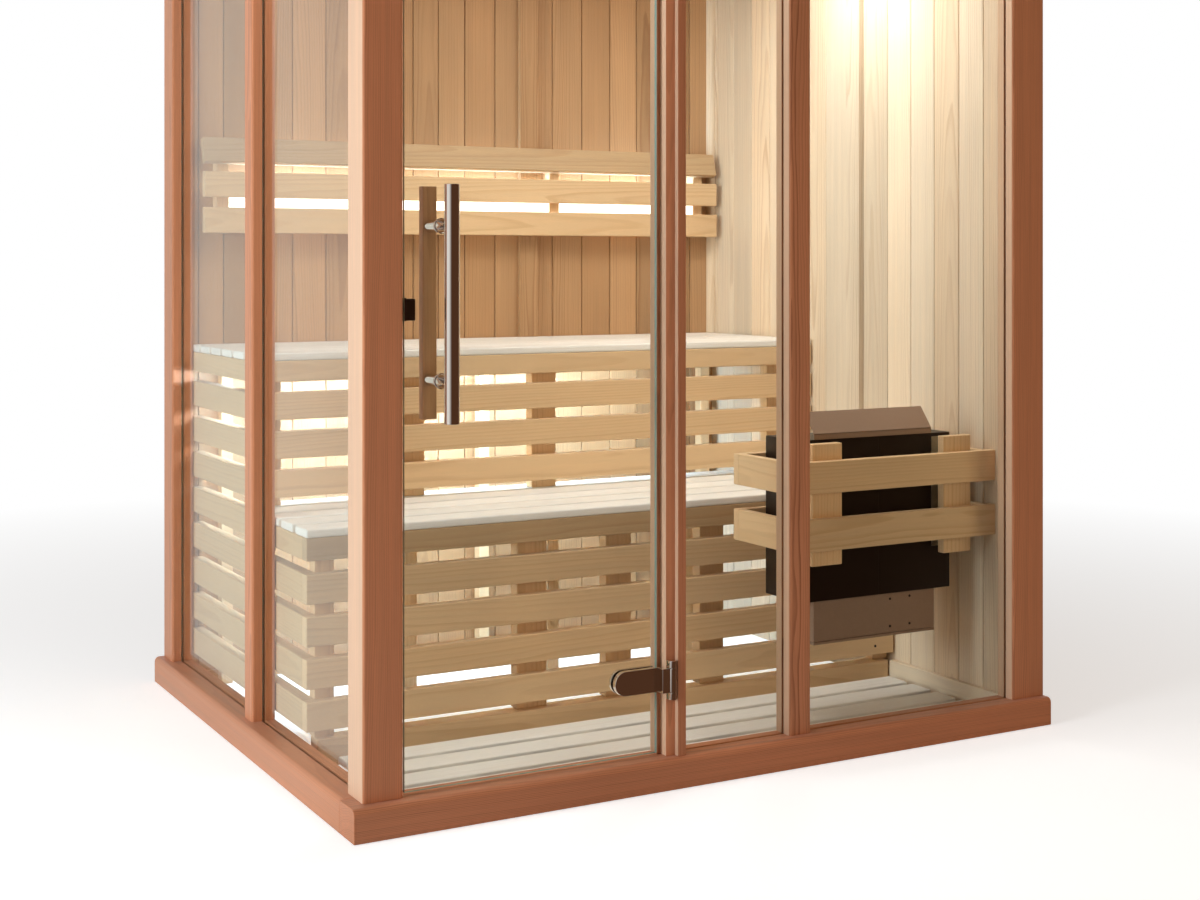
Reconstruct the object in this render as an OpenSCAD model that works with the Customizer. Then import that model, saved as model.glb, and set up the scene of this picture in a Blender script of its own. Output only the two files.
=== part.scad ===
// Indoor sauna cabin: two glazed walls on timber sills, two solid clad walls, a glass door,
// two stepped benches with slatted skirts, a backrest, and a wall heater inside a timber guard.
// Millimetres, +Z up. The origin is on the floor, where the centre lines of the front glass and
// the left glass cross. X runs right along the front, Y runs from the front glass to the back wall.

/* [Cabin] */
// Clear length from the left glass line to the inner face of the right wall
inside_x = 1610; // [1560:1:2300]
// Clear depth from the front glass line to the inner face of the back wall
inside_y = 1315; // [1280:1:1900]
// Height from the floor to the underside of the roof panel
wall_h = 2010; // [1900:1:2300]
// Thickness of the solid walls
wall_t = 65; // [45:1:100]
// Thickness of the roof panel
roof_t = 60; // [40:1:100]

/* [Sill and header] */
// Height of the sill, and of the header above the glass
sill_h = 64; // [50:1:90]
// How far the sill stands outside the glass line
sill_out = 51; // [35:1:70]
// Radius of the sill's outer top edge
sill_round = 12; // [4:1:20]

/* [Posts] */
// Width of the intermediate posts along the wall
post_w = 56; // [48:1:80]
// Half the depth of a post, on each side of the glass line
post_half = 27; // [22:1:34]
// Side of the square front left corner post
corner_w = 82; // [75:1:95]
// How far the corner post stands outside the glass lines
corner_out = 23; // [15:1:30]
// Radius of the posts' long edges
post_round = 6; // [2:1:9]
// Left face of the hinge post
hinge_post_x = 630; // [600:1:680]
// Left face of the front middle post
mid_post_x = 948; // [850:1:1050]
// Width of the front right post, which ends at the cabin's right face
right_post_w = 97; // [75:1:130]
// Front face of the left middle post
left_post_y = 639; // [500:1:800]
// Width of the rear left post, which ends at the cabin's rear face
rear_post_w = 82; // [72:1:120]
// How far the cover batten on the hinge post stands out from it
cover_out = 13; // [6:1:20]
// Width of the cover batten on the hinge post
cover_w = 20; // [14:1:20]

/* [Fixed glass] */
// Thickness of the fixed panes
pane_t = 6; // [4:0.5:8]
// Depth of the slot that a pane sits in
slot_d = 10; // [6:1:12]
// Clearance between a pane and its slot, on each side
slot_gap = 0.3; // [0.1:0.1:1]

/* [Door] */
// Thickness of the door glass
door_t = 8; // [6:0.5:10]
// Distance from the glass line out to the middle of the door glass
door_line = 9; // [8:1:11]
// Gap between the door glass and the posts, sill and header around it
door_gap = 6; // [5:0.5:10]
// Diameter of the holes in the door glass for the handle studs
stud_hole_d = 12; // [10:0.5:16]
// Diameter of the handle studs
stud_d = 9; // [7:0.5:9.5]
// Distance from the corner post to the middle of the handles
handle_x = 82; // [60:1:140]
// Height of the middle of the handles
handle_z = 1001; // [900:1:1100]
// Length of the handles
handle_l = 456; // [380:1:700]
// Distance between the two handle studs
stud_pitch = 299; // [200:1:360]
// Diameter of the outer steel handle
handle_d = 30; // [24:1:36]
// Distance from the door glass to the axis of the outer handle
handle_reach = 52; // [40:1:70]
// Width of the inner wooden handle
grip_w = 30; // [24:1:40]
// Thickness of the inner wooden handle
grip_t = 20; // [16:1:30]
// Distance from the door glass to the inner wooden handle
grip_reach = 46; // [30:1:60]
// Diameter of the round spacers between the outer handle and the glass
spacer_d = 28; // [14:1:28]
// Diameter of the round spacers between the inner handle and the glass
spacer_in_d = 25; // [14:1:28]

/* [Hinges] */
// Distance from the left face of the hinge post to the hinge axis
hinge_in = 16; // [15:0.5:16]
// Distance from the front face of the hinge post to the hinge axis
hinge_out = 13; // [13:0.5:16]
// Diameter of the hinge barrel
barrel_d = 16; // [13:0.5:16]
// Height of the hinge barrel
barrel_h = 80; // [70:1:100]
// Diameter of the hinge pin
pin_d = 8; // [6:0.5:9]
// Radial clearance of the pin in the moving knuckle
pin_gap = 0.05; // [0.02:0.01:0.1]
// Height of the glass clamp and its knuckle
clamp_h = 50; // [40:1:60]
// Length of the glass clamp
clamp_l = 112; // [90:1:140]
// Depth of the outer clamp plate in front of the glass
clamp_front = 12; // [8:1:24]
// Thickness of the inner clamp plate
clamp_back = 8; // [5:1:10]
// Height of the middle of the lower hinge above the sill
hinge_z = 159; // [120:1:250]
// Width of the catch on the corner post
catch_w = 17; // [10:1:20]
// Depth of the catch
catch_d = 20; // [12:1:26]
// Height of the catch
catch_h = 45; // [30:1:80]
// Height of the middle of the catch
catch_z = 990; // [900:1:1100]

/* [Benches] */
// Distance from the glass line to the upper bench's front face
upper_y = 798; // [740:1:850]
// Distance from the glass line to the lower bench's front face
lower_y = 441; // [436:1:480]
// Thickness of the skirt slats and of the boards under the bench tops' edges
board_t = 28; // [22:1:32]
// Thickness of the bench top boards
top_t = 19; // [16:1:22]
// Width of the bench top boards
board_w = 75; // [60:1:90]
// Gap between the bench top boards
board_gap = 20.5; // [8:0.5:24]
// Height of the boards under the bench tops' edges
fascia_h = 49; // [40:1:52]
// Height of a skirt slat
slat_h = 64; // [50:1:70]
// Distance from one skirt slat to the next
slat_pitch = 90.5; // [84:0.5:92]
// Height of the lowest skirt slat's lower edge
slat_z = 80; // [70:1:90]
// Gap between the upper skirt's top slat and the board above it
upper_gap = 24.5; // [10:0.5:40]
// Gap between the lower skirt's top slat and the board above it
lower_gap = 28.5; // [10:0.5:40]
// Gap between the upper bench's top boards
upper_board_gap = 17; // [8:0.5:24]
// Clearance between the benches and the walls behind and to the left of them
bench_gap = 2; // [1:0.5:4]
// Gap between the benches and the right wall
bench_right_gap = 7; // [2:0.5:15]
// Width of the benches' end legs and height of their cross rails
leg_w = 45; // [35:1:60]
// Depth of the bench legs
leg_d = 33; // [28:1:45]
// Height of the floor rail under the lower skirt
floor_rail_h = 60; // [40:1:65]
// Depth of the floor rail
floor_rail_d = 45; // [38:1:60]
// Distance from the skirt's face back to the floor rail
floor_rail_set = 8; // [0:1:12]

/* [Backrest] */
// Height of the backrest's upper edge
backrest_z = 1405; // [1300:1:1500]
// Height of a backrest slat
rest_slat_h = 66; // [50:1:75]
// Distance from one backrest slat to the next
rest_pitch = 91.7; // [80:0.1:110]
// Distance from the back wall to the front face of the backrest
rest_out = 62; // [50:1:90]
// Thickness of the backrest slats
rest_t = 23; // [18:1:28]
// Angle by which the backrest's upper slat leans back
lean_angle = 18; // [0:1:22]
// Distance from the side skirt's outer face to the backrest's left end
rest_left = 15; // [10:1:80]
// Distance from the backrest's right end to the right wall
rest_right = 21; // [18:1:80]
// Width of the backrest's uprights
rest_post_w = 31; // [24:1:45]
// Distance from the backrest's ends to the middle of its outer uprights
rest_post_in = 54; // [30:1:90]

/* [Heater] */
// Distance from the right wall to the heater
heater_side = 78; // [50:1:110]
// Length of the heater body
heater_l = 434; // [380:1:455]
// Depth of the heater body
heater_d = 143; // [120:1:150]
// Height of the heater body
heater_h = 370; // [320:1:390]
// Height of the heater body's lower edge
heater_z = 305; // [280:1:325]
// Height of the junction box under the heater body
box_h = 101; // [60:1:120]
// Height of the sloped deflector on top of the heater
deflector_h = 48; // [30:1:70]
// Thickness of the heater's sheet metal
sheet_t = 2; // [1.5:0.5:4]

/* [Guard] */
// Distance from the glass line to the guard's front face
guard_y = 67; // [55:1:90]
// Distance from the guard's uprights to the heater's front face
guard_front_gap = 31; // [20:1:40]
// Distance from the guard's left boards to the heater
guard_left_gap = 52; // [30:1:80]
// Distance from the heater's back to the guard's rear boards
guard_rear_gap = 4; // [3:1:5]
// Height of the guard's upper edge
guard_z = 634.5; // [580:0.5:680]
// Height of a guard rail
guard_rail_h = 72; // [60:1:90]
// Distance from the upper rail to the lower rail
guard_pitch = 129; // [120:1:150]
// Thickness of the guard's boards
guard_t = 21; // [16:1:24]
// Width of the guard's uprights
guard_post_w = 83; // [60:1:100]

/* [Floor and trim] */
// Height of the duckboard's top face
duck_z = 30; // [28:1:45]
// Thickness of the duckboard's slats
duck_t = 16; // [12:1:18]
// Width of a duckboard slat
duck_w = 71; // [60:1:80]
// Gap between the duckboard's slats
duck_gap = 20.5; // [8:0.5:24]
// Distance from the duckboard to the right wall's base rail
duck_right = 28; // [10:1:120]
// Width of the battens that cover the wall panels' joints
batten_w = 56; // [40:1:75]
// Thickness of those battens
batten_t = 16; // [10:1:22]
// Distance from the left glass line to the middle of the back wall's batten
back_joint_x = 988; // [900:1:1080]
// Distance from the glass line to the middle of the right wall's batten
right_joint_y = 602; // [560:1:650]
// Height of the back wall's skirting
skirting_h = 30; // [20:1:60]
// Height of the base rail on the right wall
base_rail_h = 60; // [40:1:70]
// Thickness of the skirting and of the base rail
skirting_t = 15; // [10:1:22]
// Side of the quarter-round trim in the corners of the walls
trim_r = 20; // [16:1:30]

/* [Hidden] */
$fn = 64;

eps = 0.01;                              // overlap that makes cuts clean
sunk = 1;                                // how far a spacer or a hole passes the glass face
outer_x = inside_x + wall_t;             // outer face of the right wall
outer_y = inside_y + wall_t;             // outer face of the back wall
post_z0 = sill_h;                        // posts stand on the sill
post_z1 = wall_h - sill_h;               // and reach up to the header
corner_in = corner_w - corner_out;       // inner faces of the corner post
right_post_x = outer_x - right_post_w;
rear_post_y = outer_y - rear_post_w;
post_front = -post_half;                 // front face of the front posts
slot_w = pane_t + 2 * slot_gap;          // width of every glass slot

// Door and hinges
door_x0 = corner_in + door_gap;
door_x1 = hinge_post_x - door_gap;
door_z0 = sill_h + door_gap;
door_z1 = wall_h - sill_h - door_gap;
door_front = -door_line - door_t / 2;    // outer face of the door glass
door_back = -door_line + door_t / 2;     // inner face of the door glass
rebate = 8;                              // the hinge post's outer half is cut back by this
cover_in = 7;                            // from the post's right face to its cover batten
hinge_x = hinge_post_x + hinge_in;
hinge_y = post_front - hinge_out;
hinge_low = sill_h + hinge_z;
hinge_high = wall_h - sill_h - hinge_z;
knuckle_gap = 0.5;                       // between the moving and the fixed knuckles
knuckle_h = (barrel_h - clamp_h) / 2 - knuckle_gap;
clamp_over = 8;                          // outer plate passes the edge of the door glass
clamp_under = 4;                         // inner plate stops short of that edge
clamp_x1 = door_x1 + clamp_over;
clamp_x0 = clamp_x1 - clamp_l;
strap_t = 11;                            // strap from the clamp to the knuckle
strap_y = hinge_y + barrel_d / 2 - strap_t;
grip_x = corner_in + handle_x;           // middle of both handles

// Benches
bench_x0 = post_half + bench_gap;        // outer face of the side skirt
bench_x1 = inside_x - bench_right_gap;
bench_back = inside_y - bench_gap;
upper_count = 3;                         // slats under the upper bench's edge board
lower_count = 4;                         // slats under the lower bench's edge board
side_count = 8;                          // slats under the upper bench's side
top_h = fascia_h + top_t;                // edge board and top board together
lower_z = slat_z + (lower_count - 1) * slat_pitch + slat_h + lower_gap + top_h;
upper_z = slat_z + (side_count - 1) * slat_pitch + slat_h + upper_gap + top_h;
inner_x0 = bench_x0 + board_t;           // behind the side skirt
board_pitch = board_w + board_gap;
upper_pitch = board_w + upper_board_gap;
narrowest = 25;                          // a last top board narrower than this is left out
upper_boards = floor((bench_back - narrowest - upper_y) / upper_pitch) + 1;
lower_boards = floor((upper_y + board_t - lower_y) / board_pitch);
lower_end = lower_y + lower_boards * board_pitch - board_gap;
upper_under = upper_z - top_t;           // underside of the bench tops
lower_under = lower_z - top_t;
inner_board_y = max(lower_end + board_gap, upper_y + board_t);   // carries the upper front legs
rear_leg_y = inside_y - skirting_t - bench_gap - leg_d;
lower_rear_y = inner_board_y + board_w - leg_d;
upper_front_legs = [[409, 57], [758, 69], [1475, 60]];           // left face and width
upper_rear_legs = [[91, 30], [817, 30], [1540, 30]];
lower_front_legs = [[541, 77], [773, 69], [1033, 69]];
lower_rear_legs = [[430, 34], [824, 34], [1240, 34]];
end_legs = [[inner_x0, leg_w], [bench_x1 - leg_w, leg_w]];
end_rails = [inner_x0, bench_x1 - leg_d];                        // left faces
floor_rail_x1 = inside_x - skirting_t - bench_gap;

// Heater
heater_x1 = inside_x - heater_side;
heater_x0 = heater_x1 - heater_l;
heater_y = guard_y + 2 * guard_t + guard_front_gap;
guard_x0 = heater_x0 - guard_left_gap - guard_t;
guard_l = inside_x - guard_x0;
guard_back = heater_y + heater_d + guard_rear_gap + guard_t;
guard_d = guard_back - guard_y;
guard_low = guard_z - guard_rail_h - guard_pitch;    // lower edge of the lower rail
guard_post_out = 37;                     // how far the uprights pass the rails, up and down
guard_post_left = 66;                    // from the guard's left face to the left upright
guard_post_right = 58;                   // from the right upright to the right wall
guard_end_gap = 15;                      // from the right end rails to the right wall
box_in = 8;                              // junction box set in from the heater's faces
box_side = 41;                           // and from its ends
arm_h = 29;                              // wall arms of the heater
arm_w = 40;
arm_gap = (guard_pitch - guard_rail_h - arm_h) / 2;  // from the arms to the end rails
lip_h = 12;                              // upright rim in front of the deflector
deflector_d = 40;                        // how far the deflector slopes back
deflector_in = 35;                       // deflector starts this far from the body's left end
deflector_short = 58;                    // and stops this far from its right end

// Duckboard
duck_left = 30;                          // from the corner post to the duckboard
duck_front = 7;                          // from the front sill to the duckboard
duck_rear = 29;                          // from the duckboard to the lower bench
duck_x0 = corner_in + duck_left;
duck_l = inside_x - skirting_t - duck_right - duck_x0;
duck_y0 = post_half + duck_front;
duck_y1 = lower_y - duck_rear;
duck_pitch = duck_w + duck_gap;
duck_full = floor((duck_y1 - duck_y0 + duck_gap) / duck_pitch);  // slats of full width
duck_first = duck_y1 - duck_full * duck_pitch - duck_y0;         // narrow slat next to the sill
duck_least = 8;                          // a narrow slat under this width is left out
duck_batten_w = 40;                      // cross battens under the slats
duck_battens = 4;

module rounded_bar(size, r) {            // a bar along Z with four rounded long edges
    x = size[0]; y = size[1]; h = size[2];
    linear_extrude(h) {
        translate([0, r]) square([x, y - 2 * r]);
        translate([r, 0]) square([x - 2 * r, y]);
        for (cx = [r, x - r], cy = [r, y - r]) translate([cx, cy]) circle(r);
    }
}

// Sill section: u points out of the cabin from the glass line, v points up
module sill_section() {
    translate([-post_half, 0]) square([post_half + sill_out - sill_round, sill_h]);
    translate([-post_half, 0]) square([post_half + sill_out, sill_h - sill_round]);
    translate([sill_out - sill_round, sill_h - sill_round]) circle(sill_round);
}
module front_rail(x0, x1) {              // sill section run along X
    translate([x0, 0, 0]) rotate([90, 0, 90]) mirror([1, 0]) linear_extrude(x1 - x0)
        sill_section();
}
module left_rail(y0, y1) {               // sill section run along Y
    translate([0, y1, 0]) rotate([90, 0, 0]) mirror([1, 0]) linear_extrude(y1 - y0)
        sill_section();
}
module slot_x(x0, x1, z0, z1) {          // slot for a pane of the front wall
    translate([x0, -slot_w / 2, z0]) cube([x1 - x0, slot_w, z1 - z0]);
}
module slot_y(y0, y1, z0, z1) {          // slot for a pane of the left wall
    translate([-slot_w / 2, y0, z0]) cube([slot_w, y1 - y0, z1 - z0]);
}

pane_z0 = sill_h - slot_d;               // panes reach into sill and header
pane_z1 = wall_h - sill_h + slot_d;
mid_pane = [hinge_post_x + post_w - slot_d, mid_post_x + slot_d];
right_pane = [mid_post_x + post_w - slot_d, right_post_x + slot_d];
front_pane = [corner_in - slot_d, left_post_y + slot_d];
rear_pane = [left_post_y + post_w - slot_d, rear_post_y + slot_d];

module front_slots() {                   // the slots of the two fixed front panes
    for (p = [mid_pane, right_pane])
        slot_x(p[0] - slot_gap, p[1] + slot_gap, pane_z0 - slot_gap, pane_z1 + slot_gap);
}
module left_slots() {                    // the slots of the two left panes
    for (p = [front_pane, rear_pane])
        slot_y(p[0] - slot_gap, p[1] + slot_gap, pane_z0 - slot_gap, pane_z1 + slot_gap);
}

cedar = "#b5764e";
pale = "#dcb98a";
steel = "#c9ccce";
bronze = "#6a5f57";

module front_sill() {
    color(cedar) difference() { front_rail(-sill_out, outer_x); front_slots(); }
}
module left_sill() {
    color(cedar) difference() { left_rail(post_half, outer_y); left_slots(); }
}
module front_header() {
    color(cedar) difference() {
        translate([0, 0, wall_h]) mirror([0, 0, 1]) front_rail(-sill_out, outer_x);
        front_slots();
    }
}
module left_header() {
    color(cedar) difference() {
        translate([0, 0, wall_h]) mirror([0, 0, 1]) left_rail(post_half, outer_y);
        left_slots();
    }
}
module corner_post() {
    color(cedar) difference() {
        translate([-corner_out, -corner_out, post_z0])
            rounded_bar([corner_w, corner_w, post_z1 - post_z0], post_round);
        left_slots();
    }
}
module front_post(x, w) {
    difference() {
        translate([x, post_front, post_z0])
            rounded_bar([w, 2 * post_half, post_z1 - post_z0], post_round);
        front_slots();
    }
}
module left_post(y, w) {
    difference() {
        translate([-post_half, y, post_z0])
            rounded_bar([2 * post_half, w, post_z1 - post_z0], post_round);
        left_slots();
    }
}
module hinge_post() {
    color(cedar) difference() {
        front_post(hinge_post_x, post_w);
        translate([hinge_post_x - eps, post_front - eps, post_z0 - eps])
            cube([rebate + eps, post_half - slot_w / 2 + eps, post_z1 - post_z0 + 2 * eps]);
    }
}
module hinge_post_cover() {
    color(cedar) translate([hinge_post_x + post_w - cover_w - cover_in,
            post_front - cover_out, post_z0])
        cube([cover_w, cover_out, post_z1 - post_z0]);
}
module front_middle_post() { color(cedar) front_post(mid_post_x, post_w); }
module front_right_post() { color(cedar) front_post(right_post_x, right_post_w); }
module left_middle_post() { color(cedar) left_post(left_post_y, post_w); }
module rear_left_post() { color(cedar) left_post(rear_post_y, rear_post_w); }

module back_wall_left_panel() {
    color(pale) translate([post_half, inside_y, 0])
        cube([back_joint_x - post_half, wall_t, wall_h]);
}
module back_wall_right_panel() {
    color(pale) translate([back_joint_x, inside_y, 0])
        cube([outer_x - back_joint_x, wall_t, wall_h]);
}
module back_wall_batten() {
    color(pale) translate([back_joint_x - batten_w / 2, inside_y - batten_t, upper_z])
        cube([batten_w, batten_t, wall_h - upper_z]);
}
module right_wall_rear_panel() {
    color(pale) translate([inside_x, right_joint_y, 0])
        cube([wall_t, inside_y - right_joint_y, wall_h]);
}
module right_wall_front_panel() {
    color(pale) translate([inside_x, post_half, 0])
        cube([wall_t, right_joint_y - post_half, wall_h]);
}
module right_wall_batten() {
    color(pale) translate([inside_x - batten_t, right_joint_y - batten_w / 2, lower_z])
        cube([batten_t, batten_w, wall_h - lower_z]);
}
module right_wall_skirting() {
    color(pale) translate([inside_x - skirting_t, post_half, 0])
        cube([skirting_t, lower_y + floor_rail_set - post_half, base_rail_h]);
}
module back_wall_skirting() {
    color(pale) translate([post_half, inside_y - skirting_t, 0])
        cube([inside_x - post_half, skirting_t, skirting_h]);
}
module wall_corner_trim() {              // stands on the upper bench, in the rear right corner
    color(pale) translate([inside_x, inside_y, upper_z]) linear_extrude(wall_h - upper_z)
        intersection() {
            translate([-trim_r, -trim_r]) square(trim_r);
            circle(trim_r);
        }
}
module roof_panel() {
    color(pale) translate([-sill_out, -sill_out, wall_h])
        cube([outer_x + sill_out, outer_y + sill_out, roof_t]);
}

module front_glass(p) {
    color("#cfe0dc", 0.35) translate([p[0], -pane_t / 2, pane_z0])
        cube([p[1] - p[0], pane_t, pane_z1 - pane_z0]);
}
module left_glass(p) {
    color("#cfe0dc", 0.35) translate([-pane_t / 2, p[0], pane_z0])
        cube([pane_t, p[1] - p[0], pane_z1 - pane_z0]);
}
module front_middle_glass() { front_glass(mid_pane); }
module front_right_glass() { front_glass(right_pane); }
module left_front_glass() { left_glass(front_pane); }
module left_rear_glass() { left_glass(rear_pane); }

module rod_y(d, y0, y1) {                // round bar along Y
    translate([0, y1, 0]) rotate([90, 0, 0]) cylinder(d = d, h = y1 - y0);
}
module at_studs() {
    for (s = [-1, 1]) translate([grip_x, 0, handle_z + s * stud_pitch / 2]) children();
}
module door_glass() {
    color("#cfe0dc", 0.35) difference() {
        translate([door_x0, door_front, door_z0])
            cube([door_x1 - door_x0, door_t, door_z1 - door_z0]);
        at_studs() rod_y(stud_hole_d, door_front - sunk, door_back + sunk);
    }
}
module door_handle_outer() {
    axis_y = door_front - handle_reach;
    color(steel) {
        translate([grip_x, axis_y, handle_z - handle_l / 2]) cylinder(d = handle_d, h = handle_l);
        at_studs() {
            rod_y(spacer_d, axis_y, door_front);
            rod_y(stud_d, door_front - sunk, door_back);
        }
    }
}
module door_handle_inner() {
    bar_y = door_back + grip_reach;
    color(pale) translate([grip_x - grip_w / 2, bar_y, handle_z - handle_l / 2])
        cube([grip_w, grip_t, handle_l]);
    color(steel) at_studs() rod_y(spacer_in_d, door_back, bar_y);
}
module door_catch() {
    color("#202224") translate([corner_in, door_back + door_gap, catch_z - catch_h / 2])
        cube([catch_w, catch_d, catch_h]);
}

module at_hinges() {
    for (z = [hinge_low, hinge_high]) translate([0, 0, z]) children();
}
module clamp_plate(x1, y0, y1) {         // plate with a half-round left end, centred on z = 0
    r = clamp_h / 2;
    translate([clamp_x0 + r, y0, -r]) cube([x1 - clamp_x0 - r, y1 - y0, clamp_h]);
    translate([clamp_x0 + r, 0, 0]) rod_y(clamp_h, y0, y1);
}
module door_hinge_clamps() {
    color(steel) at_hinges() {
        difference() {
            union() {
                clamp_plate(clamp_x1, door_front - clamp_front, door_front);
                translate([clamp_x1 - strap_t, strap_y, -clamp_h / 2]) {
                    cube([hinge_x - clamp_x1 + strap_t, strap_t, clamp_h]);
                    cube([strap_t, door_front - strap_y, clamp_h]);
                }
                translate([hinge_x, hinge_y, -clamp_h / 2])
                    cylinder(d = barrel_d, h = clamp_h);
            }
            translate([hinge_x, hinge_y, -clamp_h])
                cylinder(d = pin_d + 2 * pin_gap, h = 2 * clamp_h);
        }
        clamp_plate(door_x1 - clamp_under, door_back, door_back + clamp_back);
    }
}
module fixed_knuckle(z) {
    translate([hinge_x, hinge_y, z]) {
        cylinder(d = barrel_d, h = knuckle_h);
        translate([-barrel_d / 2, 0, 0]) cube([barrel_d, hinge_out, knuckle_h]);
    }
}
module door_hinge_brackets() {
    color(steel) at_hinges() {
        fixed_knuckle(clamp_h / 2 + knuckle_gap);
        fixed_knuckle(-clamp_h / 2 - knuckle_gap - knuckle_h);
        translate([hinge_x, hinge_y, -barrel_h / 2]) cylinder(d = pin_d, h = barrel_h);
    }
}

// Benches
module top_boards(y0, y1, z, count, pitch) {
    for (i = [0 : count - 1]) translate([bench_x0, y0 + i * pitch, z - top_t])
        cube([bench_x1 - bench_x0, min(board_w, y1 - y0 - i * pitch), top_t]);
}
module front_slat(y, z, h) {             // runs along X, up to the side skirt's outer face
    translate([bench_x0, y, z]) cube([bench_x1 - bench_x0, board_t, h]);
}
module side_slat(y0, y1, z, h) {         // runs along Y behind the front slats
    translate([bench_x0, y0 + board_t, z]) cube([board_t, y1 - y0 - board_t, h]);
}
module upper_bench_top() { color(pale) top_boards(upper_y, bench_back, upper_z, upper_boards, upper_pitch); }
module lower_bench_top() {
    color(pale) {
        top_boards(lower_y, lower_end, lower_z, lower_boards, board_pitch);
        translate([inner_x0, inner_board_y, lower_under])
            cube([bench_x1 - inner_x0, board_w, top_t]);
    }
}
module upper_bench_skirt() {
    color(pale) {
        front_slat(upper_y, upper_under - fascia_h, fascia_h);
        for (i = [side_count - upper_count : side_count - 1])
            front_slat(upper_y, slat_z + i * slat_pitch, slat_h);
    }
}
module lower_bench_skirt() {
    color(pale) {
        front_slat(lower_y, lower_under - fascia_h, fascia_h);
        for (i = [0 : lower_count - 1]) front_slat(lower_y, slat_z + i * slat_pitch, slat_h);
        translate([inner_x0, lower_y + floor_rail_set, 0])
            cube([floor_rail_x1 - inner_x0, floor_rail_d, floor_rail_h]);
    }
}
module bench_side_skirt() {
    color(pale) {
        side_slat(upper_y, bench_back, upper_under - fascia_h, fascia_h);
        side_slat(lower_y, lower_end, lower_under - fascia_h, fascia_h);
        for (i = [0 : side_count - 1])
            side_slat(i < lower_count ? lower_y : upper_y, bench_back, slat_z + i * slat_pitch,
                slat_h);
    }
}
module legs(places, y, z0, z1) {
    for (p = places) translate([p[0], y, z0]) cube([p[1], leg_d, z1 - z0]);
}
module cross_rail(x, y0, y1, z) {        // lies under the boards, on the legs
    translate([x, y0, z - leg_w]) cube([leg_d, y1 - y0, leg_w]);
}
module upper_bench_frame() {
    y0 = upper_y + board_t;
    color(pale) {
        legs(concat(end_legs, upper_front_legs), y0, lower_z, upper_under);
        legs(upper_rear_legs, rear_leg_y, 0, upper_under);
        for (x = concat([for (p = upper_rear_legs) p[0] - leg_d], end_rails))
            cross_rail(x, y0, rear_leg_y + leg_d, upper_under);
    }
}
module lower_bench_frame() {
    y0 = lower_y + board_t;
    color(pale) {
        legs(concat(end_legs, lower_front_legs), y0, floor_rail_h, lower_under);
        legs(lower_rear_legs, lower_rear_y, 0, lower_under);
        for (x = concat([for (p = lower_rear_legs) p[0] - leg_d], end_rails))
            cross_rail(x, y0, lower_rear_y + leg_d, lower_under);
    }
}
module backrest() {
    x0 = bench_x0 + rest_left;
    x1 = inside_x - rest_right;
    y0 = inside_y - rest_out;
    z0 = backrest_z - rest_slat_h - 2 * rest_pitch;
    post_step = (x1 - x0 - 2 * rest_post_in) / 3;
    lean_z = 2 * rest_pitch;             // the upper slat leans back from this height
    lean_y = rest_slat_h * tan(lean_angle);
    color(pale) {
        for (i = [0 : 1]) translate([x0, y0, z0 + i * rest_pitch])
            cube([x1 - x0, rest_t, rest_slat_h]);
        translate([x0, y0, z0 + lean_z]) rotate([-lean_angle, 0, 0])
            cube([x1 - x0, rest_t, rest_slat_h]);
        for (i = [0 : 3])
            translate([x0 + rest_post_in + i * post_step - rest_post_w / 2, y0, z0])
                rotate([90, 0, 90]) linear_extrude(rest_post_w)
                    polygon([[rest_t, 0], [rest_out, 0], [rest_out, lean_z + rest_slat_h / 2],
                        [rest_t + lean_y / 2, lean_z + rest_slat_h / 2], [rest_t, lean_z]]);
    }
}

// Heater and guard
module heater_body() {
    color("#1c1c1d") translate([heater_x0, heater_y, heater_z])
        cube([heater_l, heater_d, heater_h]);
}
module heater_box() {
    color(bronze) translate([heater_x0 + box_side, heater_y + box_in, heater_z - box_h])
        cube([heater_l - 2 * box_side, heater_d - 2 * box_in, box_h]);
}
module heater_deflector() {              // rim and sloped sheet along the front edge of the top
    slope = atan2(deflector_h, deflector_d);
    color(bronze) translate([heater_x0 + deflector_in, heater_y, heater_z + heater_h])
        rotate([90, 0, 90]) linear_extrude(heater_l - deflector_in - deflector_short) {
            square([sheet_t, lip_h + sheet_t]);
            translate([0, lip_h]) rotate(slope)
                square([norm([deflector_h, deflector_d]), sheet_t]);
        }
}
module heater_wall_arms() {              // carry the heater on the right wall
    color(bronze) for (z = [guard_low - arm_gap - arm_h, guard_low + guard_rail_h + arm_gap])
        translate([heater_x1, heater_y + (heater_d - arm_w) / 2, z])
            cube([heater_side, arm_w, arm_h]);
}
module heater_guard() {
    color(pale) {
        for (z = [guard_low, guard_low + guard_pitch]) {
            translate([guard_x0, guard_y, z]) cube([guard_l, guard_t, guard_rail_h]);
            translate([guard_x0, guard_y + guard_t, z])
                cube([guard_t, guard_d - 2 * guard_t, guard_rail_h]);
            translate([inside_x - guard_end_gap - guard_t, guard_y + guard_t, z])
                cube([guard_t, guard_d - 2 * guard_t, guard_rail_h]);
            translate([guard_x0, guard_back - guard_t, z])
                cube([guard_l, guard_t, guard_rail_h]);
        }
        for (x = [guard_x0 + guard_post_left, inside_x - guard_post_right - guard_post_w])
            translate([x, guard_y + guard_t, guard_low - guard_post_out])
                cube([guard_post_w, guard_t, guard_z - guard_low + 2 * guard_post_out]);
    }
}
module duck_slat(y, w) {
    translate([duck_x0, y, duck_z - duck_t]) cube([duck_l, w, duck_t]);
}
module duckboard() {
    color(pale) {
        if (duck_first >= duck_least) duck_slat(duck_y0, duck_first);
        for (i = [0 : duck_full - 1]) duck_slat(duck_y1 - duck_w - i * duck_pitch, duck_w);
        for (i = [0 : duck_battens - 1])
            translate([duck_x0 + (i + 0.5) * duck_l / duck_battens - duck_batten_w / 2, duck_y0, 0])
                cube([duck_batten_w, duck_y1 - duck_y0, duck_z - duck_t]);
    }
}

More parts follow.
